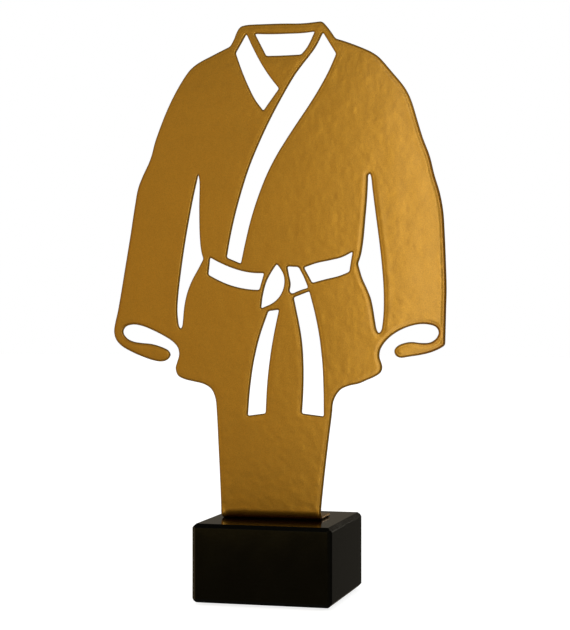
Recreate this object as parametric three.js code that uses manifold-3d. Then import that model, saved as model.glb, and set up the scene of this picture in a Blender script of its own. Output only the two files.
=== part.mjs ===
// Figure trophy: a crossed and belted training jacket, cut from one steel sheet, standing on a stone block.
// Millimetres, +Z up, front towards -Y. The origin is the middle of the felt pad's underside.

import * as THREE from 'three';
import { ConvexGeometry } from 'three/addons/geometries/ConvexGeometry.js';
import { mergeVertices } from 'three/addons/utils/BufferGeometryUtils.js';
import Module from 'manifold-3d';

const wasm = await Module();
wasm.setup();

// Felt pad under the stone
const PAD_WIDTH = 46;
const PAD_THICKNESS = 1;
const PAD_CORNER_RADIUS = 3;

// Stone block
const BASE_WIDTH = 60;
const BASE_HEIGHT = 33;
const BASE_CHAMFER = 1.7;
const STONE_TOP = PAD_THICKNESS + BASE_HEIGHT;

// Steel sheet: it stands upright, and its foot is bent back to lie on the stone
const SHEET = 1.5;
const SHEET_FRONT_Y = -7;
const BEND_OUTER_RADIUS = 4;
const FOOT_TIP_Y = 11.5;

// M4 fasteners, the same left and right
const SCREW_X = 11;
const SCREW_Y = 3.5;
const SCREW_RADIUS = 2;
const SCREW_LENGTH = 35;
const SCREW_HEAD_RADIUS = 3.5;
const SCREW_HEAD_HEIGHT = 4;
const SOCKET_ACROSS_FLATS = 3;
const SOCKET_DEPTH = 2;
const CLEARANCE_HOLE_RADIUS = 2.3;
const COUNTERBORE_RADIUS = 5.2;
const COUNTERBORE_DEPTH = 6;
const WASHER_RADIUS = 4.5;
const WASHER_BORE_RADIUS = 2.15;
const WASHER_THICKNESS = 0.8;
const NUT_ACROSS_FLATS = 7;
const NUT_HEIGHT = 3.2;
const NUT_BORE_RADIUS = 2.15;

// Fineness of round shapes
const STEPS_PER_SPAN = 4;
const CORNER_STEPS = 3;
const BEND_STEPS = 10;
const ROUND_STEPS = 32;

// Outlines are [x, height above the stone], seen from the front. A side is a smooth line through its points,
// and the sides of an outline follow each other clockwise.

const LEFT_EDGE = [
  // stem
  [-24.1, 0], [-24.1, 4], [-24.5, 15], [-25.3, 31], [-26.1, 46],
  // hem
  [-26.7, 51.3], [-28.5, 55.2], [-31.8, 57.3], [-36, 58.3], [-40.5, 59.3],
  [-43.6, 60.9], [-44.7, 64], [-43.9, 67], [-43.1, 70],
  // mouth of the cuff
  [-43.7, 73], [-46.1, 75.6], [-50, 78], [-55, 80.4], [-60, 82.3], [-64.3, 82.9],
  [-67.7, 81.9], [-68.8, 79.6], [-67.4, 77.2], [-64.5, 75.6], [-60.5, 74.9], [-56, 74.5], [-51.5, 73.3],
  // cuff
  [-48, 71.6], [-47.1, 69.7], [-48.4, 67.8], [-51, 66.9], [-55, 67.4], [-60, 69], [-65, 71.1],
  [-69.5, 73.6], [-72.1, 76.4], [-73, 79.8], [-72.5, 83.5],
  // sleeve
  [-71.3, 88.5], [-69.9, 96], [-68, 107], [-65.4, 122], [-63.4, 134.5], [-61.9, 142.2], [-59.6, 147.8],
  [-57, 153], [-55.5, 157], [-54.3, 161.5], [-51.8, 168.3], [-48.6, 175.8],
  // shoulder
  [-44.9, 183], [-40.8, 189.5], [-38, 193], [-34.5, 195.6], [-27.8, 198.8], [-20, 202.3],
];

const COLLAR_TOP = [
  [-20, 202.3], [-18.4, 205.2], [-17, 208.4], [-15.5, 210.4], [-13, 211.1],
  [-5, 211.2], [3, 211.1], [12, 210.8], [20.5, 211.3],
];

const COLLAR_RIGHT = [[20.5, 211.3], [22.3, 209.4], [24.5, 206.5], [26.3, 203.8]];

const RIGHT_EDGE = [
  // shoulder
  [26.3, 203.8], [31, 202.2], [38.3, 199.2], [42.1, 197.3], [45.1, 195.1], [50.3, 189.1], [55.4, 182.9],
  [57.5, 179.4], [59.1, 175.6],
  // sleeve
  [61.3, 168.3], [63.7, 160.6], [66.5, 153.3], [68.5, 145.3], [70.8, 137.7], [72.2, 130], [72.8, 121],
  [73.3, 109], [73.6, 98], [73.4, 90], [73.2, 82], [73, 74.5],
];

const RIGHT_CUFF = [
  // cuff
  [73, 74.5], [70.5, 73], [67, 71.5], [63, 70.5], [58, 69.7], [54, 69.2], [52.1, 70.3], [51.6, 72.3],
  // mouth of the cuff
  [53.1, 74.2], [56, 75.4], [59, 75.8], [63, 75.4], [66.8, 75.7], [69.3, 77.4], [70.3, 79.8], [69.2, 82],
  [66.1, 83.1], [62, 83.2], [57.9, 82.3], [54, 80.7], [50.2, 78.3], [47.2, 75.3], [45.5, 72.3],
  // hem
  [45.2, 69.5], [46, 67], [46.4, 65], [45.6, 62.9], [43.2, 61.2], [40, 59.8], [36.3, 58.2], [32.3, 57.3],
  // stem
  [28.8, 55.8], [26.6, 53.3], [25.2, 50], [24.8, 46], [23.4, 35], [22, 23.5], [20.9, 13.5], [20, 4], [20, 0],
];

const STEM_FOOT = [[20, 0], [-24.1, 0]];

const WINDOWS = {
  neck: [
    [[-9, 207.2], [-2, 206.8], [5, 206.7], [12, 206.7], [17.3, 207.1]],
    [[17.3, 207.1], [14.8, 202], [13.2, 199.6], [11.3, 197.6]],
    [[11.3, 197.6], [3.5, 197.5], [-4, 197.6]],
    [[-4, 197.6], [-9, 207.2]],
  ],
  left_lapel: [
    [[-12.8, 207.3], [-9.7, 200.8], [-6.3, 194.5], [-2.5, 188.7], [1.6, 183.5]],
    [[1.6, 183.5], [-5.3, 174.3]],
    [[-5.3, 174.3], [-8.9, 179], [-12, 185], [-14.8, 191.5], [-17.6, 199.3]],
    [[-17.6, 199.3], [-12.8, 207.3]],
  ],
  right_lapel: [
    [[20.9, 206.5], [26.6, 197.3]],
    [
      [26.6, 197.3], [23.3, 190.1], [19.4, 183.2], [15, 176.4], [9.3, 168.3], [4.7, 161.6], [0.4, 154.9],
      [-3.8, 147], [-7.7, 137.5], [-11, 127.4], [-13.4, 117.8], [-15.3, 109.1],
    ],
    [[-15.3, 109.1], [-21.6, 111.7]],
    [
      [-21.6, 111.7], [-20.3, 119.3], [-18, 129.5], [-15.1, 139.8], [-11.5, 150.5], [-7.3, 160.3],
      [-2.5, 170.1], [3, 180], [8.7, 189.2], [12.3, 193.8], [15.4, 197.5], [17.9, 200.9], [20.9, 206.5],
    ],
  ],
  left_armpit: [
    [
      [-34.4, 147.7], [-33.9, 145], [-34, 133], [-33.8, 122], [-33.3, 116], [-32.7, 113], [-32.1, 111.2],
    ],
    [
      [-32.1, 111.2], [-34.4, 107], [-37.3, 101.9], [-39.5, 96.4], [-40.8, 90.5], [-41.4, 84.3],
      [-41.8, 82], [-42.5, 81.3], [-43.2, 82.2], [-43.7, 85], [-44, 89],
      [-43.6, 95.5], [-42.6, 104], [-41, 115], [-38.9, 127], [-36.7, 138], [-34.4, 147.7],
    ],
  ],
  right_armpit: [
    [
      [36, 108.6], [37.3, 112.5], [38.3, 118.5], [39.1, 127], [39.9, 136], [40.3, 143.5],
      [40.4, 145.6], [41, 146.3], [41.5, 145.6],
      [42.3, 139.5], [43.6, 129.5], [45.2, 117.5], [46.3, 107.5], [47, 97.5], [47, 88.5], [46.5, 83],
      [45.9, 80.4], [44.9, 79.6], [44, 81], [43.3, 84.5], [42.4, 90], [41.5, 94], [39.9, 98], [37.8, 102.6],
      [36, 108.6],
    ],
  ],
  left_belt: [
    [[-29.1, 111.8], [-25.3, 109.8], [-20, 107.5], [-14.5, 105.8], [-9.5, 105], [-5, 104.9]],
    [[-5, 104.9], [-7.1, 97.8]],
    [[-7.1, 97.8], [-11, 98], [-16, 98.8], [-21, 100.2], [-25.5, 102.1], [-29.9, 104.4]],
    [[-29.9, 104.4], [-29.1, 111.8]],
  ],
  right_belt: [
    [[12.6, 107.2], [18, 109], [24, 110.2], [29, 111.4], [33.7, 113.7]],
    [[33.7, 113.7], [32.8, 108.5], [32.3, 105.3]],
    [[32.3, 105.3], [28, 103.6], [22, 102.2], [16.2, 100.7]],
    [[16.2, 100.7], [12.6, 107.2]],
  ],
  left_knot: [
    [
      [0.6, 108.8], [2.5, 106.4], [3.7, 103.9], [4, 101], [3.3, 97.6], [1.5, 94.5], [-1.3, 92.1],
      [-6.3, 89.9],
    ],
    [[-6.3, 89.9], [-5.6, 95.3], [-4.1, 100.9], [-2, 105], [0.6, 108.8]],
  ],
  middle_knot: [
    [[5.3, 107.7], [10.2, 107.4]],
    [[10.2, 107.4], [12.4, 103.4], [14.4, 98.6]],
    [[14.4, 98.6], [11, 97.6], [7.4, 96.1]],
    [[7.4, 96.1], [6.2, 97]],
    [[6.2, 97], [6.7, 100.3], [5.9, 104.3], [5.3, 107.7]],
  ],
  left_tail: [
    [[-3.1, 88.7], [1.6, 89.3]],
    [[1.6, 89.3], [-0.7, 78.5], [-2.4, 68.4], [-3.6, 57.7], [-4.3, 45.1]],
    [[-4.3, 45.1], [-12.2, 44]],
    [[-12.2, 44], [-11.3, 55.2], [-9.6, 67], [-7, 77.8], [-3.1, 88.7]],
  ],
  right_tail: [
    [[8.1, 94.5], [14.9, 97.1]],
    [[14.9, 97.1], [17.3, 88], [19.3, 78], [20.6, 66.5], [21.1, 55.5], [21.2, 44.2]],
    [[21.2, 44.2], [11.7, 45.3]],
    [[11.7, 45.3], [12.3, 56], [12.3, 67.5], [11.4, 78], [8.1, 94.5]],
  ],
};

const OUTLINE_CORNER = 1;
const WINDOW_CORNER = 0.7;

function smoothLine(points) {
  const vectors = points.map(([x, height]) => new THREE.Vector3(x, height, 0));
  return new THREE.CatmullRomCurve3(vectors, false, 'centripetal');
}

// Joins the sides into one closed outline. Each corner is rounded, from `corner` mm before it to as far after.
function joinSides(sides, corner) {
  const outline = [];
  const lines = sides.map(smoothLine);
  lines.forEach((line, i) => {
    const start = line.getUtoTmapping(0, corner);
    const end = line.getUtoTmapping(0, line.getLength() - corner);
    const spans = line.points.length - 1;
    const steps = spans === 1 ? 1 : spans * STEPS_PER_SPAN;
    for (let step = 0; step <= steps; step++) {
      outline.push(line.getPoint(start + (end - start) * step / steps));
    }
    const next = lines[(i + 1) % lines.length];
    const nextStart = next.getPoint(next.getUtoTmapping(0, corner));
    const round = new THREE.QuadraticBezierCurve3(outline.at(-1), line.points.at(-1), nextStart);
    outline.push(...round.getPoints(CORNER_STEPS).slice(1, -1));
  });
  return outline;
}

function toSolid(geometry) {
  const bare = geometry.clone();
  bare.deleteAttribute('normal');
  bare.deleteAttribute('uv');
  const merged = mergeVertices(bare);
  return new wasm.Manifold(new wasm.Mesh({
    numProp: 3,
    vertProperties: merged.attributes.position.array,
    triVerts: Uint32Array.from(merged.index.array),
  }));
}

function toGeometry(solid) {
  const { vertProperties, triVerts } = solid.getMesh();
  const geometry = new THREE.BufferGeometry();
  geometry.setAttribute('position', new THREE.BufferAttribute(vertProperties, 3));
  geometry.setIndex(new THREE.BufferAttribute(triVerts, 1));
  const faceted = geometry.toNonIndexed();
  faceted.computeVertexNormals();
  return faceted;
}

function uprightCylinder(radius, bottom, top, sides = ROUND_STEPS) {
  const geometry = new THREE.CylinderGeometry(radius, radius, top - bottom, sides);
  geometry.rotateX(Math.PI / 2);
  geometry.translate(0, 0, (bottom + top) / 2);
  return geometry;
}

// A hexagonal prism has a corner radius, not the width across its flats.
function uprightHexagon(acrossFlats, bottom, top) {
  return uprightCylinder(acrossFlats / Math.sqrt(3), bottom, top, 6);
}

// The figure as it is cut: its front outline with every window, pushed through the depth of the foot.
function jacketPrism() {
  const edges = [LEFT_EDGE, COLLAR_TOP, COLLAR_RIGHT, RIGHT_EDGE, RIGHT_CUFF, STEM_FOOT];
  const shape = new THREE.Shape(joinSides(edges, OUTLINE_CORNER).reverse());
  shape.holes = Object.values(WINDOWS).map((sides) => new THREE.Path(joinSides(sides, WINDOW_CORNER)));
  const depth = FOOT_TIP_Y - SHEET_FRONT_Y + 2;
  const geometry = new THREE.ExtrudeGeometry(shape, { depth, bevelEnabled: false });
  geometry.rotateX(Math.PI / 2);
  geometry.translate(0, FOOT_TIP_Y + 1, 0);
  return geometry;
}

// The sheet as it is bent: its profile seen from the side, as [y, height above the stone], swept across.
function bentSheet() {
  const width = 160;
  const height = 220;
  const bendY = SHEET_FRONT_Y + BEND_OUTER_RADIUS;
  const profile = new THREE.Shape();
  profile.moveTo(SHEET_FRONT_Y, height);
  profile.lineTo(SHEET_FRONT_Y, BEND_OUTER_RADIUS);
  profile.absarc(bendY, BEND_OUTER_RADIUS, BEND_OUTER_RADIUS, Math.PI, Math.PI * 1.5);
  profile.lineTo(FOOT_TIP_Y, 0);
  profile.lineTo(FOOT_TIP_Y, SHEET);
  profile.lineTo(bendY, SHEET);
  profile.absarc(bendY, BEND_OUTER_RADIUS, BEND_OUTER_RADIUS - SHEET, Math.PI * 1.5, Math.PI, true);
  profile.lineTo(SHEET_FRONT_Y + SHEET, height);
  const geometry = new THREE.ExtrudeGeometry(profile, {
    depth: width,
    bevelEnabled: false,
    curveSegments: BEND_STEPS,
  });
  const sideView = new THREE.Matrix4().makeBasis(
    new THREE.Vector3(0, 1, 0),
    new THREE.Vector3(0, 0, 1),
    new THREE.Vector3(1, 0, 0),
  );
  geometry.applyMatrix4(sideView);
  geometry.translate(-width / 2, 0, 0);
  return geometry;
}

function figurePlate() {
  let plate = toSolid(jacketPrism()).intersect(toSolid(bentSheet()));
  for (const x of [-SCREW_X, SCREW_X]) {
    const hole = uprightCylinder(CLEARANCE_HOLE_RADIUS, -1, SHEET + 1);
    hole.translate(x, SCREW_Y, 0);
    plate = plate.subtract(toSolid(hole));
  }
  return toGeometry(plate);
}

// Every edge has the same chamfer. Three chamfers meet in a point at each corner, halfway down the cut.
function chamferedBlock() {
  const half = new THREE.Vector3(BASE_WIDTH / 2, BASE_WIDTH / 2, BASE_HEIGHT / 2);
  const corners = [];
  for (const sx of [-1, 1]) {
    for (const sy of [-1, 1]) {
      for (const sz of [-1, 1]) {
        const cuts = [[0, 1, 1], [1, 0, 1], [1, 1, 0], [0.5, 0.5, 0.5]];
        for (const cut of cuts) {
          const corner = half.clone().addScaledVector(new THREE.Vector3(...cut), -BASE_CHAMFER);
          corners.push(corner.multiply(new THREE.Vector3(sx, sy, sz)));
        }
      }
    }
  }
  return new ConvexGeometry(corners);
}

function baseBlock() {
  let block = toSolid(chamferedBlock());
  const bottom = -BASE_HEIGHT / 2;
  for (const x of [-SCREW_X, SCREW_X]) {
    const hole = uprightCylinder(CLEARANCE_HOLE_RADIUS, bottom - 1, -bottom + 1);
    hole.translate(x, SCREW_Y, 0);
    const counterbore = uprightCylinder(COUNTERBORE_RADIUS, bottom - 1, bottom + COUNTERBORE_DEPTH);
    counterbore.translate(x, SCREW_Y, 0);
    block = block.subtract(toSolid(hole)).subtract(toSolid(counterbore));
  }
  return toGeometry(block);
}

function basePad() {
  const inner = PAD_WIDTH / 2 - PAD_CORNER_RADIUS;
  const outline = new THREE.Shape();
  outline.absarc(inner, inner, PAD_CORNER_RADIUS, 0, Math.PI / 2);
  outline.absarc(-inner, inner, PAD_CORNER_RADIUS, Math.PI / 2, Math.PI);
  outline.absarc(-inner, -inner, PAD_CORNER_RADIUS, Math.PI, Math.PI * 1.5);
  outline.absarc(inner, -inner, PAD_CORNER_RADIUS, Math.PI * 1.5, Math.PI * 2);
  return new THREE.ExtrudeGeometry(outline, { depth: PAD_THICKNESS, bevelEnabled: false, curveSegments: 6 });
}

// Socket head screw, head down. Its origin is under the head, where it bears on the washer.
function clampScrew() {
  const tipChamfer = 0.5;
  const profile = [
    [0, -SCREW_HEAD_HEIGHT],
    [SCREW_HEAD_RADIUS - 0.3, -SCREW_HEAD_HEIGHT],
    [SCREW_HEAD_RADIUS, -SCREW_HEAD_HEIGHT + 0.3],
    [SCREW_HEAD_RADIUS, 0],
    [SCREW_RADIUS, 0],
    [SCREW_RADIUS, SCREW_LENGTH - tipChamfer],
    [SCREW_RADIUS - tipChamfer, SCREW_LENGTH],
    [0, SCREW_LENGTH],
  ];
  const turned = new THREE.LatheGeometry(profile.map(([r, z]) => new THREE.Vector2(r, z)), ROUND_STEPS);
  turned.rotateX(Math.PI / 2);
  const socketMouth = -SCREW_HEAD_HEIGHT - 1;
  const socket = uprightHexagon(SOCKET_ACROSS_FLATS, socketMouth, -SCREW_HEAD_HEIGHT + SOCKET_DEPTH);
  return toGeometry(toSolid(turned).subtract(toSolid(socket)));
}

function ring(outer, boreRadius, height) {
  const bore = uprightCylinder(boreRadius, -1, height + 1);
  return toGeometry(toSolid(outer).subtract(toSolid(bore)));
}

function washer() {
  return ring(uprightCylinder(WASHER_RADIUS, 0, WASHER_THICKNESS), WASHER_BORE_RADIUS, WASHER_THICKNESS);
}

function hexNut() {
  return ring(uprightHexagon(NUT_ACROSS_FLATS, 0, NUT_HEIGHT), NUT_BORE_RADIUS, NUT_HEIGHT);
}

const goldPaint = new THREE.MeshStandardMaterial({ color: 0xa8741f, roughness: 0.4, metalness: 0.8 });
const blackStone = new THREE.MeshStandardMaterial({ color: 0x0b0b0a, roughness: 0.12, metalness: 0 });
const zincSteel = new THREE.MeshStandardMaterial({ color: 0xb4b7bb, roughness: 0.35, metalness: 1 });
const darkFelt = new THREE.MeshStandardMaterial({ color: 0x1c1c1e, roughness: 0.95, metalness: 0 });

const trophy = new THREE.Group();

function addPart(name, geometry, material, x, y, z) {
  const mesh = new THREE.Mesh(geometry, material.clone());
  mesh.name = name;
  mesh.position.set(x, y, z);
  trophy.add(mesh);
}

const headSeat = PAD_THICKNESS + COUNTERBORE_DEPTH;
const footTop = STONE_TOP + SHEET;

addPart('figure_plate', figurePlate(), goldPaint, 0, 0, STONE_TOP);
addPart('base_block', baseBlock(), blackStone, 0, 0, PAD_THICKNESS + BASE_HEIGHT / 2);
addPart('base_pad', basePad(), darkFelt, 0, 0, 0);

for (const [side, x] of [['left', -SCREW_X], ['right', SCREW_X]]) {
  addPart(`clamp_screw_${side}`, clampScrew(), zincSteel, x, SCREW_Y, headSeat - WASHER_THICKNESS);
  addPart(`head_washer_${side}`, washer(), zincSteel, x, SCREW_Y, headSeat - WASHER_THICKNESS);
  addPart(`foot_washer_${side}`, washer(), zincSteel, x, SCREW_Y, footTop);
  addPart(`foot_nut_${side}`, hexNut(), zincSteel, x, SCREW_Y, footTop + WASHER_THICKNESS);
}

export default trophy;
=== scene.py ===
"""Figure trophy: a gold-coated sheet-steel jacket, bent into a foot and bolted to a polished stone block.

Metres, +Z up, front towards -Y. Lengths written in millimetres are multiplied by MM.
"""

import math

import bpy
import numpy as np
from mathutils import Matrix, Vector, noise
from mathutils.geometry import delaunay_2d_cdt
from mathutils.kdtree import KDTree


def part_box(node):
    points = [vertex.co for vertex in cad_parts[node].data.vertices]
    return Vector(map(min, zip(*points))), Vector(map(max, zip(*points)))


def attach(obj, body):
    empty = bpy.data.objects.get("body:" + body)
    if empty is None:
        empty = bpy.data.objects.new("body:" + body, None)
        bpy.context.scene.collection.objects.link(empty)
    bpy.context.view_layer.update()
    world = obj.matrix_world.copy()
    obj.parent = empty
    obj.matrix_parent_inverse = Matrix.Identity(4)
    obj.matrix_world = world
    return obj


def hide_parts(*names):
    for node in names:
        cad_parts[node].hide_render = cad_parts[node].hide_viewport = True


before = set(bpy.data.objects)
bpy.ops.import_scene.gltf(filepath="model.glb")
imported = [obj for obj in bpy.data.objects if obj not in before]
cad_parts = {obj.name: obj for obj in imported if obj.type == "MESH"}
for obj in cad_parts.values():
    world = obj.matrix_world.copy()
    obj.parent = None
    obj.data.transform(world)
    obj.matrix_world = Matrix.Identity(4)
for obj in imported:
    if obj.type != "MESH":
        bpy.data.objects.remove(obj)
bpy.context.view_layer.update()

MM = 0.001
scene = bpy.context.scene

# ---------------------------------------------------------------- measures taken from the frame

PLATE_LOW, PLATE_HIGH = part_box("figure_plate")
PAD_LOW, PAD_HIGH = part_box("base_pad")
STONE_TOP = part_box("base_block")[1][2]
FRONT_Y = PLATE_LOW[1]
FOOT_TIP_Y = PLATE_HIGH[1]
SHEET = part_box("foot_washer_left")[0][2] - STONE_TOP
BEND_RADIUS = 4 * MM
SIDES = ("left", "right")


def foot_ends():
    """The left and right ends of the plate's foot, measured along X."""
    places = [v.co.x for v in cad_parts["figure_plate"].data.vertices if v.co.y > FOOT_TIP_Y - 1 * MM]
    return min(places), max(places)


FOOT_LEFT, FOOT_RIGHT = foot_ends()


def middle(node):
    low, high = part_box(node)
    return [(a + b) / 2 for a, b in zip(low, high)]


# ---------------------------------------------------------------- camera


def make_camera():
    data = bpy.data.cameras.new("camera")
    data.sensor_width = 36
    data.lens = 95.28
    camera = bpy.data.objects.new("camera", data)
    camera.location = (186.19 * MM, -692.09 * MM, 121.06 * MM)
    camera.rotation_euler = (math.radians(90), 0, math.radians(14.86))
    scene.collection.objects.link(camera)
    scene.camera = camera


make_camera()

# ---------------------------------------------------------------- material helpers


class Nodes:
    """A new material's node tree, with short calls for the nodes that the finishes share."""

    def __init__(self, name):
        self.material = bpy.data.materials.new(name)
        self.material.use_nodes = True
        self.tree = self.material.node_tree
        self.shader = self.tree.nodes["Principled BSDF"]
        self.place = self.add("ShaderNodeTexCoord").outputs["Object"]

    def add(self, kind, **settings):
        node = self.tree.nodes.new(kind)
        for key, value in settings.items():
            setattr(node, key, value)
        return node

    def link(self, source, target):
        self.tree.links.new(source, target)

    def feed(self, socket, value):
        if isinstance(value, bpy.types.NodeSocket):
            self.link(value, socket)
        else:
            socket.default_value = value

    def set(self, **values):
        for name, value in values.items():
            self.feed(self.shader.inputs[name.replace("_", " ")], value)

    def noise(self, size, detail=2.0, roughness=0.5, stretch=None):
        """Soft noise whose features are about `size` metres across."""
        node = self.add("ShaderNodeTexNoise")
        node.inputs["Scale"].default_value = 1 / size
        node.inputs["Detail"].default_value = detail
        node.inputs["Roughness"].default_value = roughness
        place = self.place
        if stretch:
            mapping = self.add("ShaderNodeMapping")
            mapping.inputs["Scale"].default_value = stretch
            self.link(place, mapping.inputs["Vector"])
            place = mapping.outputs["Vector"]
        self.link(place, node.inputs["Vector"])
        return node.outputs["Fac"]

    def cells(self, size):
        """Small cells about `size` metres across, each of one random value."""
        node = self.add("ShaderNodeTexVoronoi")
        node.inputs["Scale"].default_value = 1 / size
        self.link(self.place, node.inputs["Vector"])
        return node.outputs["Color"]

    def remap(self, value, low, high, new_low, new_high):
        node = self.add("ShaderNodeMapRange")
        numbers = (low, high, new_low, new_high)
        for name, number in zip(("From Min", "From Max", "To Min", "To Max"), numbers):
            node.inputs[name].default_value = number
        self.link(value, node.inputs["Value"])
        return node.outputs["Result"]

    def math(self, operation, a, b):
        node = self.add("ShaderNodeMath", operation=operation)
        self.feed(node.inputs[0], a)
        self.feed(node.inputs[1], b)
        return node.outputs["Value"]

    def mix(self, factor, a, b, blend="MIX"):
        node = self.add("ShaderNodeMix", data_type="RGBA", blend_type=blend)
        self.feed(node.inputs["Factor"], factor)
        self.feed(node.inputs["A"], a)
        self.feed(node.inputs["B"], b)
        return node.outputs["Result"]

    def bump(self, height, distance, normal=None):
        node = self.add("ShaderNodeBump")
        node.inputs["Distance"].default_value = distance
        node.inputs["Strength"].default_value = 1.0
        self.link(height, node.inputs["Height"])
        if normal:
            self.link(normal, node.inputs["Normal"])
        return node.outputs["Normal"]


def gold_paint():
    """Satin metallic powder coat: fine flakes under a thin clear film, with a soft orange peel. The plate's
    edge attribute darkens it with painted shade at edges and round the bend.
    """
    n = Nodes("gold_paint")
    flakes = n.remap(n.cells(0.28 * MM), 0, 1, 0.86, 1.1)
    clouds = n.remap(n.noise(14 * MM, 3), 0.3, 0.7, 0.97, 1.03)
    tone = n.math("MULTIPLY", flakes, clouds)
    edge = n.add("ShaderNodeAttribute", attribute_name="edge").outputs["Fac"]
    # Painted shade: the edge attribute mixes in a dark brown on the edge walls, the sleeves' rims and the
    # bend.
    coat_colour_with_painted_shade = n.mix(edge, (0.62, 0.318, 0.032, 1), (0.30, 0.088, 0.004, 1))
    shaded = n.mix(1.0, coat_colour_with_painted_shade, tone, "MULTIPLY")
    peel = n.bump(n.noise(2.8 * MM, 0.7), 0.09 * MM)
    grain = n.bump(n.noise(0.5 * MM, 2), 0.004 * MM, normal=peel)
    n.set(Base_Color=shaded, Metallic=0.84, Normal=grain)
    n.set(Roughness=n.remap(n.noise(6 * MM, 3), 0.3, 0.7, 0.28, 0.32))
    n.set(Coat_Weight=0.7, Coat_Roughness=0.2, Coat_IOR=1.5)
    return n.material


def black_stone():
    """Polished absolute black granite: near black, with fine grey crystals and a slightly uneven polish."""
    n = Nodes("black_stone")
    crystals = n.remap(n.cells(0.55 * MM), 0.8, 1.0, 0, 1)
    veil = n.remap(n.noise(3 * MM, 4, 0.6), 0.45, 0.75, 0, 1)
    amount = n.math("MULTIPLY", crystals, veil)
    colour = n.mix(amount, (0.0013, 0.0013, 0.001, 1), (0.009, 0.009, 0.008, 1))
    polish = n.remap(n.noise(9 * MM, 4, 0.6), 0.3, 0.7, 0.07, 0.12)
    pits = n.bump(n.noise(0.8 * MM, 3), 0.002 * MM)
    n.set(Base_Color=colour, Roughness=n.math("ADD", polish, n.math("MULTIPLY", amount, 0.05)))
    n.set(Normal=pits, IOR=1.5)
    return n.material


def zinc_steel():
    """Bright zinc plate over turned steel: bluish, with fine tool marks and small dull patches."""
    n = Nodes("zinc_steel")
    patches = n.remap(n.noise(1.6 * MM, 4, 0.65), 0.35, 0.7, 0, 1)
    colour = n.mix(patches, (0.70, 0.72, 0.76, 1), (0.56, 0.57, 0.58, 1))
    marks = n.bump(n.noise(0.35 * MM, 3, stretch=(0.25, 0.25, 4)), 0.004 * MM)
    n.set(Base_Color=colour, Metallic=1.0, Normal=marks)
    n.set(Roughness=n.remap(patches, 0, 1, 0.24, 0.42))
    return n.material


def dark_felt():
    """Pressed wool felt: short tangled fibres of slightly different greys."""
    n = Nodes("felt")
    fibres = n.noise(0.5 * MM, 6, 0.75)
    tufts = n.noise(2.5 * MM, 3)
    colour = n.mix(fibres, (0.012, 0.012, 0.014, 1), (0.06, 0.06, 0.066, 1))
    shaded = n.mix(n.remap(tufts, 0.3, 0.7, 0, 0.5), colour, (0.02, 0.02, 0.022, 1))
    matted = n.bump(fibres, 0.12 * MM)
    n.set(Base_Color=shaded, Roughness=n.remap(fibres, 0.2, 0.8, 0.85, 1.0), Normal=matted)
    n.set(Sheen_Weight=0.35, Sheen_Roughness=0.5)
    return n.material


GOLD = gold_paint()
STONE = black_stone()
ZINC = zinc_steel()
FELT = dark_felt()

# ---------------------------------------------------------------- mesh helpers


def make_piece(name, vertices, faces, material, replaced, sharp_angle=None):
    mesh = bpy.data.meshes.new(name)
    mesh.from_pydata(vertices, [], faces)
    mesh.shade_smooth()
    if sharp_angle:
        mesh.set_sharp_from_angle(angle=math.radians(sharp_angle))
    mesh.materials.append(material)
    piece = bpy.data.objects.new(name, mesh)
    scene.collection.objects.link(piece)
    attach(piece, "root")
    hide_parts(replaced)
    return piece


def smoothstep(low, high, value):
    t = min(max((value - low) / (high - low), 0), 1)
    return t * t * (3 - 2 * t)


def gauss(value, centre, width):
    return math.exp(-(((value - centre) / width) ** 2))


# ---------------------------------------------------------------- figure plate
# The plate is made flat, as a blank of points (x, s): s is the height above the stone on the upright part,
# and it runs on down around the bend into the foot, below zero. Then the blank is bent and made into a sheet.

BEND_TOP = BEND_RADIUS
BEND_END = BEND_TOP - BEND_RADIUS * math.pi / 2
BEND_Y = FRONT_Y + BEND_RADIUS
FOOT_TIP_S = BEND_END - (FOOT_TIP_Y - BEND_Y)
FOOT_CORNER = 1.5 * MM
FOOT_HOLE_RADIUS = 2.3 * MM

EDGE_STEP = 0.6 * MM
BEND_STEP = 0.35 * MM
GRID_STEP = 2.2 * MM
ROUND_INSET = 0.85 * MM
ROUND_DEPTH = 0.35 * MM
SHOULDER_DROP = 0.27 * MM
SHOULDER_REACH = (1.3 * MM, 2.2 * MM)
ROUND_ROWS = 6
# Painted shade: how much darker the colour is on the edge walls, fading over the rounding onto the face.
EDGE_SHADE = 0.42
WALL_ROWS = 2
FULL_ROWS = (1.05 * MM, 1.35 * MM)
OPEN_ROWS = (1.7 * MM, 2.0 * MM, 2.4 * MM, 2.9 * MM, 3.6 * MM, 4.4 * MM)


def front_loops():
    """The outlines of the plate's flat front, counter-clockwise outside and clockwise round each window."""
    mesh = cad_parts["figure_plate"].data
    edges = set()
    for face in mesh.polygons:
        if face.normal.y > -0.99 or abs(face.center.y - FRONT_Y) > 0.01 * MM:
            continue
        corners = []
        for index in face.vertices:
            place = mesh.vertices[index].co
            corners.append((round(place.x, 6), round(place.z - STONE_TOP, 6)))
        for start, end in zip(corners, corners[1:] + corners[:1]):
            if (end, start) in edges:
                edges.remove((end, start))
            else:
                edges.add((start, end))
    following = dict(sorted(edges))
    loops = []
    while following:
        start = min(following)
        loop = [start]
        here = following.pop(start)
        while here != start:
            loop.append(here)
            here = following.pop(here)
        loops.append(loop)
    loops.sort(key=lambda loop: min(x for x, _ in loop))
    return loops


def divided(points, step, closed=True):
    """The same line with every span cut into pieces no longer than `step`."""
    out = []
    following = points[1:] + points[:1] if closed else points[1:]
    for (x0, s0), (x1, s1) in zip(points, following):
        count = max(1, math.ceil(math.dist((x0, s0), (x1, s1)) / step))
        for i in range(count):
            t = i / count
            out.append((x0 + (x1 - x0) * t, s0 + (s1 - s0) * t))
    if not closed:
        out.append(points[-1])
    return out


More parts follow.
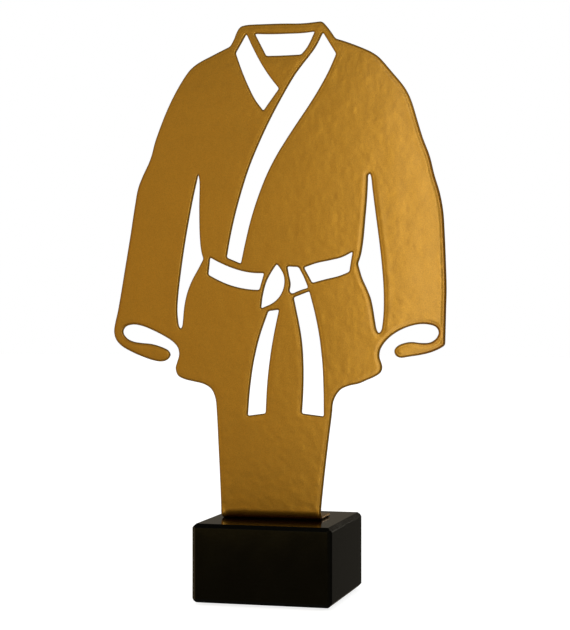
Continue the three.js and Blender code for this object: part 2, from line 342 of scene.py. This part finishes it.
def relaxed(points, passes=4):
    """Rounds off a line's facets without shrinking it."""
    line = np.array(points)
    for _ in range(passes):
        for amount in (0.5, -0.52):
            ahead = np.roll(line, -1, axis=0)
            behind = np.roll(line, 1, axis=0)
            line = line + amount * ((ahead + behind) / 2 - line)
    return [tuple(p) for p in line]


def arc(centre, radius, start, end, steps):
    out = []
    for i in range(steps + 1):
        angle = math.radians(start + (end - start) * i / steps)
        out.append((centre[0] + radius * math.cos(angle), centre[1] + radius * math.sin(angle)))
    return out


def blank_loops():
    """All the outlines of the flat blank: outside with the foot unrolled, windows and screw holes."""
    outside, *windows = front_loops()
    upper = [p for p in outside if p[1] > BEND_TOP + 0.01 * MM]
    gaps = [math.dist(a, b) for a, b in zip(upper, upper[1:] + upper[:1])]
    cut = gaps.index(max(gaps))
    upper = upper[cut + 1:] + upper[:cut + 1]
    left = min(x for x, s in outside if s < BEND_TOP + 0.01 * MM)
    right = max(x for x, s in outside if s < BEND_TOP + 0.01 * MM)
    tip = FOOT_TIP_S + FOOT_CORNER
    foot = divided([(left, BEND_TOP), (left, BEND_END)], BEND_STEP, closed=False)
    foot += arc((left + FOOT_CORNER, tip), FOOT_CORNER, 180, 270, 6)
    foot += arc((right - FOOT_CORNER, tip), FOOT_CORNER, 270, 360, 6)
    foot += divided([(right, BEND_END), (right, BEND_TOP)], BEND_STEP, closed=False)
    loops = [relaxed(divided(upper + foot, EDGE_STEP))]
    loops += [relaxed(divided(window, EDGE_STEP)) for window in windows]
    for side in SIDES:
        x, y, _ = middle("foot_nut_" + side)
        centre = (x, BEND_END - (y - BEND_Y))
        loops.append(arc(centre, FOOT_HOLE_RADIUS, 360, 0, 32)[:-1])
    return loops


def inward(loop):
    """Each point's direction into the sheet, long enough to keep the offset line parallel to its spans."""
    line = np.array(loop)
    span = np.roll(line, -1, axis=0) - line
    span /= np.linalg.norm(span, axis=1)[:, None]
    side = np.stack((-span[:, 1], span[:, 0]), axis=1)
    both = side + np.roll(side, 1, axis=0)
    both /= np.linalg.norm(both, axis=1)[:, None]
    spread = np.clip((both * side).sum(axis=1), 0.8, 1)
    return both / spread[:, None]


def rim_insets(loop, rim, distance):
    """How far in the rounded edge reaches at each point: less where a strip is too narrow for two of them."""
    reach = []
    for (x, s), way in zip(loop, rim):
        inset = ROUND_INSET
        while inset > 0.2 * MM and distance((x + way[0] * inset, s + way[1] * inset)) < inset * 0.985:
            inset -= 0.05 * MM
        reach.append(inset if inset == ROUND_INSET else inset * 0.8)
    lowest = np.array(reach)
    for shift in range(-4, 5):
        lowest = np.minimum(lowest, np.roll(reach, shift))
    return np.mean([np.roll(lowest, shift) for shift in range(-3, 4)], axis=0)


class EdgeDistance:
    """The distance from any point of the blank to its nearest outline."""

    def __init__(self, loops):
        self.starts = []
        self.ends = []
        for loop in loops:
            self.starts += loop
            self.ends += loop[1:] + loop[:1]
        self.tree = KDTree(len(self.starts))
        for i, (x, s) in enumerate(self.starts):
            self.tree.insert((x, s, 0), i)
        self.tree.balance()
        count = len(self.starts)
        self.before = list(range(-1, count - 1))
        first = 0
        for loop in loops:
            self.before[first] = first + len(loop) - 1
            first += len(loop)

    def to_span(self, point, i):
        x0, s0 = self.starts[i]
        x1, s1 = self.ends[i]
        dx, ds = x1 - x0, s1 - s0
        t = ((point[0] - x0) * dx + (point[1] - s0) * ds) / (dx * dx + ds * ds)
        t = min(max(t, 0), 1)
        return math.hypot(point[0] - x0 - t * dx, point[1] - s0 - t * ds)

    def __call__(self, point):
        best = 1.0
        for _, i, _ in self.tree.find_n((point[0], point[1], 0), 3):
            best = min(best, self.to_span(point, i), self.to_span(point, self.before[i]))
        return best


def inside(points, loops):
    """Which of the points are in the sheet: inside the outline and in no window."""
    starts = np.array([p for loop in loops for p in loop])
    ends = np.array([p for loop in loops for p in loop[1:] + loop[:1]])
    level = starts[:, 1] == ends[:, 1]
    slope = (ends[:, 0] - starts[:, 0]) / np.where(level, 1, ends[:, 1] - starts[:, 1])
    found = []
    for few in np.array_split(np.array(points), math.ceil(len(points) / 2000)):
        x, s = few[:, :1], few[:, 1:]
        spans = (starts[:, 1] > s) != (ends[:, 1] > s)
        beyond = x < starts[:, 0] + (s - starts[:, 1]) * slope
        found.append((spans & beyond).sum(axis=1) % 2 == 1)
    return np.concatenate(found)


def heavy_coat(x):
    """0 over most of the figure, rising to 1 on the right sleeve, where the coat is thickest."""
    return smoothstep(25 * MM, 65 * MM, x)


def shoulder(x, depth_in):
    """How far the face has sunk towards the nearest edge, `depth_in` away."""
    near, far = SHOULDER_REACH
    return SHOULDER_DROP * max(0, 1 - depth_in / (near + (far - near) * heavy_coat(x))) ** 2


def sleeve_edge_shade(x, depth_in):
    """Painted shade along the sleeves' outer edges, from 0 to 1: a darker band within about 1.5 mm of the
    edge.
    """
    sides = max(smoothstep(58 * MM, 68 * MM, x), 0.6 * smoothstep(-48 * MM, -62 * MM, x))
    return 0.45 * sides * smoothstep(1.5 * MM, 0.8 * MM, depth_in)


def relief(x, s, depth_in):
    """How far the paint stands proud of the sheet's face, `depth_in` from the nearest edge.

    It beads along every edge, most on the right sleeve, and swells a little all over."""
    d = depth_in / MM
    heavy = 0.7 + 0.3 * heavy_coat(x)
    bead = heavy * (0.045 * gauss(d, 0.7, 0.34) - 0.045 * gauss(d, 1.3, 0.38) + 0.016 * gauss(d, 2.3, 0.7))
    swell = 0.030 * noise.noise(Vector((x / (11 * MM), s / (11 * MM), 3.7)))
    swell += 0.030 * noise.noise(Vector((x / (5 * MM), s / (5 * MM), 8.1)))
    away = smoothstep(0.6, 4.5, d)
    bulge = 0.22 * gauss(s / MM, 1.8, 2.2) * gauss(d, 0.9, 0.8)
    upright = smoothstep(BEND_END, BEND_TOP, s)
    return ((bead + swell * away) * upright + bulge) * MM


def bent(x, s, depth):
    """The place of a point of the blank that is `depth` behind the sheet's front face.

    The sheet bends round a quarter circle, which its paint fills out to a squarer corner near both ends."""
    if s >= BEND_TOP:
        return (x, FRONT_Y + depth, STONE_TOP + s)
    if s <= BEND_END:
        return (x, BEND_Y + BEND_END - s, STONE_TOP + depth)
    angle = (BEND_TOP - s) / BEND_RADIUS
    near_end = gauss(x, FOOT_LEFT, 2.8 * MM) + 0.4 * gauss(x, FOOT_RIGHT, 1.6 * MM)
    power = 2 + 1.5 * near_end * (1 - depth / SHEET)
    length = (math.cos(angle) ** power + math.sin(angle) ** power) ** (-1 / power)
    radius = (BEND_RADIUS - depth) * length
    return (x, BEND_Y - radius * math.cos(angle), STONE_TOP + BEND_RADIUS - radius * math.sin(angle))


def inner_points(loops, rims, distance):
    """Points of the face inside the rounded edge: rows along every edge, then an open grid."""
    points = []
    for loop, rim in zip(loops, rims):
        for row, offset in enumerate(FULL_ROWS + OPEN_ROWS):
            for i, (start, way) in enumerate(zip(loop, rim)):
                near_bend = start[1] < BEND_TOP + 2 * MM
                if row >= len(FULL_ROWS) and (i + row) % 2 and not near_bend:
                    continue
                point = (start[0] + way[0] * offset, start[1] + way[1] * offset)
                if distance(point) > offset * 0.96:
                    points.append(point)
    clear = OPEN_ROWS[-1] + 0.8 * MM
    grid = grid_points()
    for point, within in zip(grid, inside(grid, loops)):
        if within and distance(point) > clear:
            points.append(point)
    return points


def grid_points():
    """A staggered grid over the whole blank, much closer along s where the sheet bends."""
    out = []
    x_low, x_high = PLATE_LOW[0], PLATE_HIGH[0]
    s = FOOT_TIP_S
    row = 0
    while s < PLATE_HIGH[2] - STONE_TOP:
        bending = BEND_END - 1 * MM < s < BEND_TOP + 1.5 * MM
        columns = int((x_high - x_low) / GRID_STEP)
        for i in range(columns):
            out.append((x_low + (i + 0.5 * (row % 2)) * GRID_STEP, s))
        s += BEND_STEP if bending else GRID_STEP * 0.87
        row += 1
    return out


def figure_plate():
    loops = blank_loops()
    rims = [inward(loop) for loop in loops]
    distance = EdgeDistance(loops)
    insets = [rim_insets(loop, rim, distance) for loop, rim in zip(loops, rims)]
    vertices = []
    edge_shade = []
    faces = []

    def add(x, s, depth, outward, tone):
        face_depth = depth - outward if depth < SHEET / 2 else depth + outward
        vertices.append(bent(x, s, face_depth))
        # Painted shade round the bend, where the sheet turns down towards the stone; it fades onto the foot
        # and is weaker at the foot's left end.
        bend_shade = smoothstep(BEND_TOP, 0, s) * (1 - 0.9 * smoothstep(0, BEND_END, s))
        edge_shade.append(max(tone, bend_shade * (1 - 0.8 * gauss(x, FOOT_LEFT, 2 * MM))))
        return len(vertices) - 1

    # Rows of the edge, from the front face round the wall to the back face: (part of the inset, depth,
    # painted shade).
    front_rows = []
    for i in range(ROUND_ROWS, -1, -1):
        angle = math.radians(90 * i / ROUND_ROWS)
        # Painted shade, strongest at the wall and none on the flat face.
        tone = EDGE_SHADE * (1 - i / ROUND_ROWS) ** 2.5
        front_rows.append((1 - math.cos(angle), ROUND_DEPTH * (1 - math.sin(angle)), tone))
    straight = SHEET - 2 * ROUND_DEPTH
    wall = [(0, ROUND_DEPTH + straight * i / WALL_ROWS, EDGE_SHADE) for i in range(1, WALL_ROWS)]
    back_rows = [(part, SHEET - depth, tone) for part, depth, tone in reversed(front_rows)]

    front_rims = []
    back_rims = []
    for loop, rim, reach in zip(loops, rims, insets):
        rings = []
        for part, depth, tone in front_rows + wall + back_rows:
            ring = []
            for (x, s), way, inset in zip(loop, rim, reach):
                px, ps = x + way[0] * inset * part, s + way[1] * inset * part
                outward = relief(px, ps, inset) * part - shoulder(px, inset * part)
                # The colour's painted shade here is the larger of the edge rows' shade and the sleeves' edge
                # shade.
                ring.append(add(px, ps, depth, outward, max(tone, sleeve_edge_shade(px, inset * part))))
            rings.append(ring)
        for upper, lower in zip(rings, rings[1:]):
            for i in range(len(loop)):
                j = (i + 1) % len(loop)
                faces.append((upper[i], lower[i], lower[j], upper[j]))
        front_rims.append(rings[0])
        back_rims.append(rings[-1])

    # The face: its rim points are shared with the rounded edge, its other points are new.
    flat = []
    borders = []
    constraints = []
    for loop, rim, reach in zip(loops, rims, insets):
        first = len(flat)
        border = [(x + way[0] * inset, s + way[1] * inset) for (x, s), way, inset in zip(loop, rim, reach)]
        borders.append(border)
        flat += border
        count = len(loop)
        constraints += [(first + i, first + (i + 1) % count) for i in range(count)]
    rim_count = len(flat)
    flat += inner_points(loops, rims, distance)
    scaled = [Vector((x / MM, s / MM)) for x, s in flat]
    found = delaunay_2d_cdt(scaled, constraints, [], 0, 1e-6)
    sources = found[3]
    if any(len(s) != 1 for s in sources) or len(found[0]) != len(flat):
        raise RuntimeError(f"the face's points merged or crossed: {len(flat)} in, {len(found[0])} out")
    corners = np.array([[sources[v][0] for v in triangle] for triangle in found[2]])
    centres = np.array(flat)[corners].mean(axis=1)
    triangles = corners[inside(centres, borders)].tolist()
    for side, rings in ((0, front_rims), (1, back_rims)):
        shared = [index for ring in rings for index in ring]
        index_of = dict(enumerate(shared))
        for i in range(rim_count, len(flat)):
            x, s = flat[i]
            away = distance((x, s))
            index_of[i] = add(x, s, side * SHEET, relief(x, s, away) - shoulder(x, away), sleeve_edge_shade(x, away))
        for triangle in triangles:
            face = [index_of[c] for c in triangle]
            faces.append(face if side == 0 else face[::-1])
    piece = make_piece("jacket_plate", vertices, faces, GOLD, "figure_plate")
    # The painted shade of every vertex, read by the gold paint as its edge attribute.
    tones = piece.data.attributes.new("edge", "FLOAT", "POINT")
    tones.data.foreach_set("value", edge_shade)


figure_plate()

# ---------------------------------------------------------------- stone block


def finish_stone():
    """The CAD block, with its sawn arrises taken off as polishing does."""
    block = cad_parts["base_block"]
    weld = block.modifiers.new("weld", "WELD")
    weld.merge_threshold = 0.001 * MM
    arris = block.modifiers.new("arris", "BEVEL")
    arris.width = 0.22 * MM
    arris.segments = 3
    arris.limit_method = "ANGLE"
    arris.angle_limit = math.radians(25)
    block.data.materials.clear()
    block.data.materials.append(STONE)


finish_stone()

# ---------------------------------------------------------------- turned fasteners

AROUND = 60
BORE_RADIUS = 2.15 * MM
NUT_ACROSS_FLATS = 7 * MM
SHANK_RADIUS = 2 * MM
HEAD_HEIGHT = 4 * MM
SOCKET_ACROSS_FLATS = 3 * MM
SOCKET_DEPTH = 2 * MM
KNURLS = 30
THREAD_PITCH = 0.7 * MM
THREAD_DEPTH = 0.42 * MM
THREAD_LENGTH = 20 * MM


def turned(name, rings, centre, replaced, closed):
    """Stacks rings around a vertical axis.

    Each ring is (radius, z), and either of them is a number or a function of the angle."""
    vertices = []
    faces = []
    for radius, z in rings:
        for i in range(AROUND):
            angle = 2 * math.pi * i / AROUND
            r = radius(angle) if callable(radius) else radius
            height = z(angle) if callable(z) else z
            vertices.append((centre[0] + r * math.cos(angle), centre[1] + r * math.sin(angle), height))
    count = len(rings)
    for ring in range(count if closed else count - 1):
        below = ring * AROUND
        above = (ring + 1) % count * AROUND
        for i in range(AROUND):
            j = (i + 1) % AROUND
            faces.append((below + i, below + j, above + j, above + i))
    if not closed:
        for ring, order in ((0, -1), (count - 1, 1)):
            z = rings[ring][1]
            vertices.append((centre[0], centre[1], z))
            pole = len(vertices) - 1
            for i in range(AROUND):
                j = (i + 1) % AROUND
                corner = (ring * AROUND + i, ring * AROUND + j, pole)
                faces.append(corner[::order])
    make_piece(name, vertices, faces, ZINC, replaced, sharp_angle=38)


def hexagon(across_flats):
    """The radius of a hexagon at an angle, with a corner on the X axis."""
    def radius(angle):
        off_flat = (angle % (math.pi / 3)) - math.pi / 6
        return across_flats / 2 / math.cos(off_flat)
    return radius


def washer(name, node):
    low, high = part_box(node)
    outer = (high[0] - low[0]) / 2
    bore = BORE_RADIUS
    soft = 0.14 * MM
    bottom, top = low[2], high[2]
    rings = [
        (bore + soft, bottom), (outer - soft, bottom), (outer - soft * 0.3, bottom + soft * 0.3),
        (outer, bottom + soft), (outer, top - soft), (outer - soft * 0.3, top - soft * 0.3),
        (outer - soft, top), (bore + soft, top), (bore + soft * 0.3, top - soft * 0.3),
        (bore, top - soft), (bore, bottom + soft), (bore + soft * 0.3, bottom + soft * 0.3),
    ]
    turned(name, rings, middle(node), node, closed=True)


def nut(name, node):
    """A hex nut with both faces chamfered by a cone, so each flat ends in a shallow curve."""
    low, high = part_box(node)
    bore = BORE_RADIUS
    face = NUT_ACROSS_FLATS / 2 * 0.96
    slope = math.tan(math.radians(30))
    outside = hexagon(NUT_ACROSS_FLATS)
    bottom, top = low[2], high[2]

    def lower(angle):
        return bottom + (outside(angle) - face) * slope

    def upper(angle):
        return top - (outside(angle) - face) * slope

    mouth = 0.45 * MM
    rings = [
        (bore + mouth, bottom), (face, bottom), (outside, lower), (outside, upper),
        (face, top), (bore + mouth, top), (bore, top - mouth), (bore, bottom + mouth),
    ]
    turned(name, rings, middle(node), node, closed=True)


def screw(name, node):
    """A socket head screw, head down, with a knurled head and a rolled thread on its upper end."""
    low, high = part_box(node)
    head = (high[0] - low[0]) / 2
    shank = SHANK_RADIUS
    bottom, top = low[2], high[2]
    seat = bottom + HEAD_HEIGHT
    socket = hexagon(SOCKET_ACROSS_FLATS)
    thread_start = top - THREAD_LENGTH

    def knurl(angle):
        return head - 0.09 * MM * abs(math.sin(angle * KNURLS / 2))

    def thread(z):
        def radius(angle):
            turn = ((z - bottom) / THREAD_PITCH - angle / (2 * math.pi)) % 1
            wave = min(max(abs(turn - 0.5) * 2.6 - 0.15, 0), 1)
            depth = THREAD_DEPTH * smoothstep(thread_start, thread_start + THREAD_PITCH, z)
            lead_in = 0.4 * MM * smoothstep(top - 0.5 * MM, top, z)
            return min(shank - depth * wave, shank - lead_in)
        return radius

    rings = [
        (socket, bottom + SOCKET_DEPTH), (socket, bottom + 0.12 * MM), (1.86 * MM, bottom),
        (head - 0.45 * MM, bottom), (head - 0.12 * MM, bottom + 0.15 * MM), (knurl, bottom + 0.5 * MM),
        (knurl, seat - 0.35 * MM), (head - 0.1 * MM, seat - 0.1 * MM), (head - 0.2 * MM, seat),
        (shank + 0.12 * MM, seat), (shank, seat + 0.15 * MM),
    ]
    steps = math.ceil(THREAD_LENGTH / THREAD_PITCH * 6)
    rings += [(thread(z), z) for z in np.linspace(thread_start, top, steps)]
    turned(name, rings, middle(node), node, closed=False)


for side in SIDES:
    screw("machine_screw_" + side, "clamp_screw_" + side)
    washer("lower_washer_" + side, "head_washer_" + side)
    washer("upper_washer_" + side, "foot_washer_" + side)
    nut("hex_nut_" + side, "foot_nut_" + side)

# ---------------------------------------------------------------- felt pad


def felt_pad():
    """A die-cut felt square with round corners, its cut edge and its nap slightly uneven."""
    half = (PAD_HIGH[0] - PAD_LOW[0]) / 2
    thick = PAD_HIGH[2] - PAD_LOW[2]
    corner = 3 * MM
    straight = half - corner
    outline = []
    for quarter, (sx, sy) in enumerate(((1, 1), (-1, 1), (-1, -1), (1, -1))):
        for i in range(13):
            angle = math.radians(90 * quarter + 90 * i / 12)
            across, along = corner * math.cos(angle), corner * math.sin(angle)
            outline.append((sx * straight + across, sy * straight + along))
    outline = divided(outline, 0.8 * MM)
    count = len(outline)
    soft = 0.3 * MM
    levels = [(scale, 0.0) for scale in np.linspace(0.04, 0.96, 22)]
    cut = soft * 0.3
    sides = [(soft, 0.0), (cut, cut), (0, soft), (0, thick - soft), (cut, thick - cut)]
    rings = [[(x * scale, y * scale, z) for x, y in outline] for scale, z in levels]
    for inset, z in sides + [(soft, thick)]:
        scale = 1 - inset / half
        rings.append([(x * scale, y * scale, z) for x, y in outline])
    rings += [[(x * scale, y * scale, thick) for x, y in outline] for scale, _ in reversed(levels)]
    vertices = []
    for ring in rings:
        for x, y, z in ring:
            spot = Vector((x, y, z)) / (0.9 * MM)
            pull = 1 - 0.12 * MM * abs(noise.noise(spot)) / half
            matted = 0.06 * MM * abs(noise.noise(spot + Vector((0, 0, 31.7))))
            lift = matted if z < thick / 2 else -matted
            vertices.append((x * pull, y * pull, PAD_LOW[2] + z + lift))
    faces = []
    for ring in range(len(rings) - 1):
        below, above = ring * count, (ring + 1) * count
        for i in range(count):
            j = (i + 1) % count
            faces.append((below + i, below + j, above + j, above + i))
    last = (len(rings) - 1) * count
    for first, z, order in ((0, 0.0, -1), (last, thick, 1)):
        vertices.append((0, 0, PAD_LOW[2] + z))
        pole = len(vertices) - 1
        for i in range(count):
            faces.append((first + i, first + (i + 1) % count, pole)[::order])
    piece = make_piece("felt_pad", vertices, faces, FELT, "base_pad")


felt_pad()

# ---------------------------------------------------------------- floor, light and background


def make_floor():
    mesh = bpy.data.meshes.new("floor")
    size = 4.0
    corners = [(-size, -size, 0), (size, -size, 0), (size, size, 0), (-size, size, 0)]
    mesh.from_pydata(corners, [], [(0, 1, 2, 3)])
    floor = bpy.data.objects.new("floor", mesh)
    scene.collection.objects.link(floor)
    n = Nodes("floor_paint")
    n.set(Base_Color=(0.5, 0.5, 0.5, 1), Roughness=0.9, Emission_Color=(1, 1, 1, 1), Emission_Strength=0.82)
    mesh.materials.append(n.material)
    floor.visible_glossy = False


def make_light(name, place, target, width, height, power, colour):
    data = bpy.data.lights.new(name, "AREA")
    data.shape = "RECTANGLE"
    data.size = width
    data.size_y = height
    data.energy = power
    data.color = colour
    light = bpy.data.objects.new(name, data)
    light.location = place
    light.rotation_euler = (Vector(target) - Vector(place)).to_track_quat("-Z", "Y").to_euler()
    light.visible_camera = False
    scene.collection.objects.link(light)


def make_world():
    """White behind the object, a bright room for the matt floor, and a dim studio for reflections."""
    world = bpy.data.worlds.new("studio")
    scene.world = world
    world.use_nodes = True
    tree = world.node_tree
    nodes, links = tree.nodes, tree.links
    background = nodes["Background"]
    direction = nodes.new("ShaderNodeTexCoord").outputs["Generated"]
    parts = nodes.new("ShaderNodeSeparateXYZ")
    links.new(direction, parts.inputs[0])
    right, back, up = parts.outputs

    def ramp(source, low, high, start, end):
        node = nodes.new("ShaderNodeMapRange")
        node.interpolation_type = "SMOOTHSTEP"
        for name, value in zip(("From Min", "From Max", "To Min", "To Max"), (low, high, start, end)):
            node.inputs[name].default_value = value
        links.new(source, node.inputs["Value"])
        return node.outputs["Result"]

    def times(a, b):
        node = nodes.new("ShaderNodeMath")
        node.operation = "MULTIPLY"
        links.new(a, node.inputs[0])
        links.new(b, node.inputs[1])
        return node.outputs[0]

    def mix(factor, a, b):
        node = nodes.new("ShaderNodeMix")
        node.data_type = "RGBA"
        links.new(factor, node.inputs["Factor"])
        for value, socket in ((a, node.inputs["A"]), (b, node.inputs["B"])):
            if isinstance(value, tuple):
                socket.default_value = value
            else:
                links.new(value, socket)
        return node.outputs["Result"]

    level = mix(ramp(up, -0.05, 0.15, 0, 1), (0.05, 0.036, 0.01, 1), (0.07, 0.07, 0.045, 1))
    above = times(ramp(up, 0.16, 0.36, 0, 1), ramp(up, 0.6, 0.85, 1, 0))
    raised = mix(above, level, (0.32, 0.25, 0.12, 1))
    forward = mix(ramp(up, -0.45, -0.25, 1, 0), raised, (0.13, 0.08, 0.022, 1))
    backdrop = times(ramp(back, 0.1, 0.8, 0, 1), ramp(right, -0.3, 0.45, 1, 0))
    ahead = mix(ramp(back, -0.6, 0, 1, 0), (0.025, 0.024, 0.02, 1), forward)
    beside = mix(ramp(right, -0.95, -0.6, 1, 0), ahead, (0.24, 0.18, 0.095, 1))
    reflected = mix(backdrop, beside, (0.125, 0.108, 0.082, 1))
    paths = nodes.new("ShaderNodeLightPath")
    lit = mix(paths.outputs["Is Diffuse Ray"], reflected, (0.75, 0.75, 0.75, 1))
    seen = mix(paths.outputs["Is Camera Ray"], lit, (1, 1, 1, 1))
    links.new(seen, background.inputs["Color"])


AIM = (0, FRONT_Y, 130 * MM)
make_floor()
make_world()
make_light("strip_softbox", (0.004, -0.5, 0.135), (0.004, 0, 0.135), 0.08, 0.41, 0.235, (1.0, 0.97, 0.74))
make_light("back_softbox", (0.45, 1.1, 0.42), AIM, 0.45, 0.5, 0.7, (1.0, 0.93, 0.78))
make_light("front_fill", (-0.41, -1.128, 0.17), AIM, 0.5, 0.56, 0.32, (1.0, 0.70, 0.22))
make_light("warm_fill", (-0.849, -0.849, 0.17), AIM, 0.5, 0.56, 0.335, (1.0, 0.62, 0.06))

scene.view_settings.view_transform = "Standard"
scene.view_settings.look = "None"
